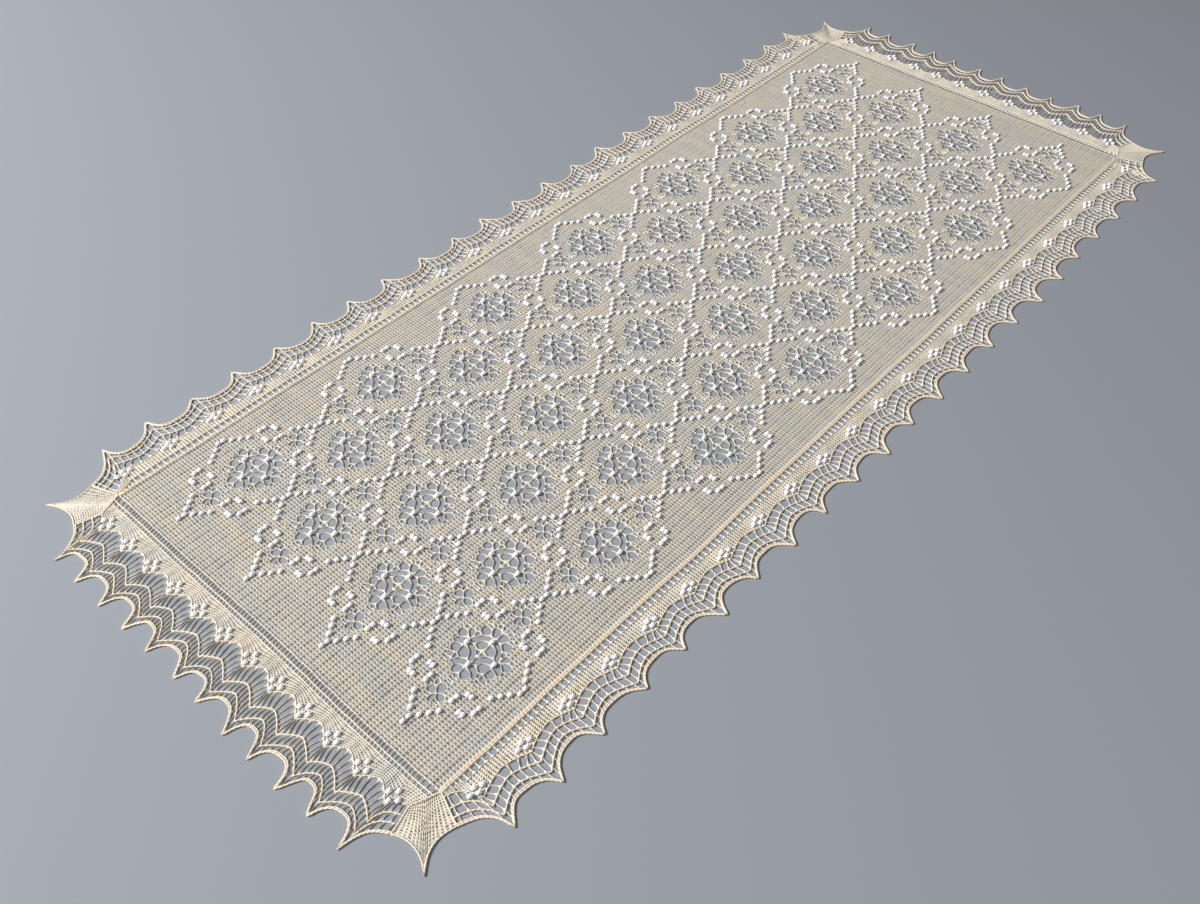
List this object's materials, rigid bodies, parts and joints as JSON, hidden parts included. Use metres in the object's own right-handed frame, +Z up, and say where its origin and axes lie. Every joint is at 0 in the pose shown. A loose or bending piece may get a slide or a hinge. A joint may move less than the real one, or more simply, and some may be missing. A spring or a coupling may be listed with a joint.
{
  "type": "knitted lace shawl laid flat",
  "caption": "Rectangular knitted lace shawl laid flat: a panel of diamond openwork with a beaded trellis, and a pointed lace edging all round.",
  "frame": {"origin": "on the surface that the shawl lies on, under its middle", "axes": "+X across the shawl, +Y along it away from the near short side, +Z up"},
  "size_m": [0.6028, 1.408, 0.0016],
  "materials": {
    "knit": "fine variegated cream and blue-grey knitting yarn, matt",
    "lace": "fine cream and peach knitting yarn, matt, slightly hairy",
    "bead": "glossy opaque white glass seed beads"
  },
  "bodies": {
    "root": {"centre_panel": "knit", "edging_near": "lace", "edging_far": "lace", "edging_left": "lace", "edging_right": "lace"}
  },
  "joints": []
}
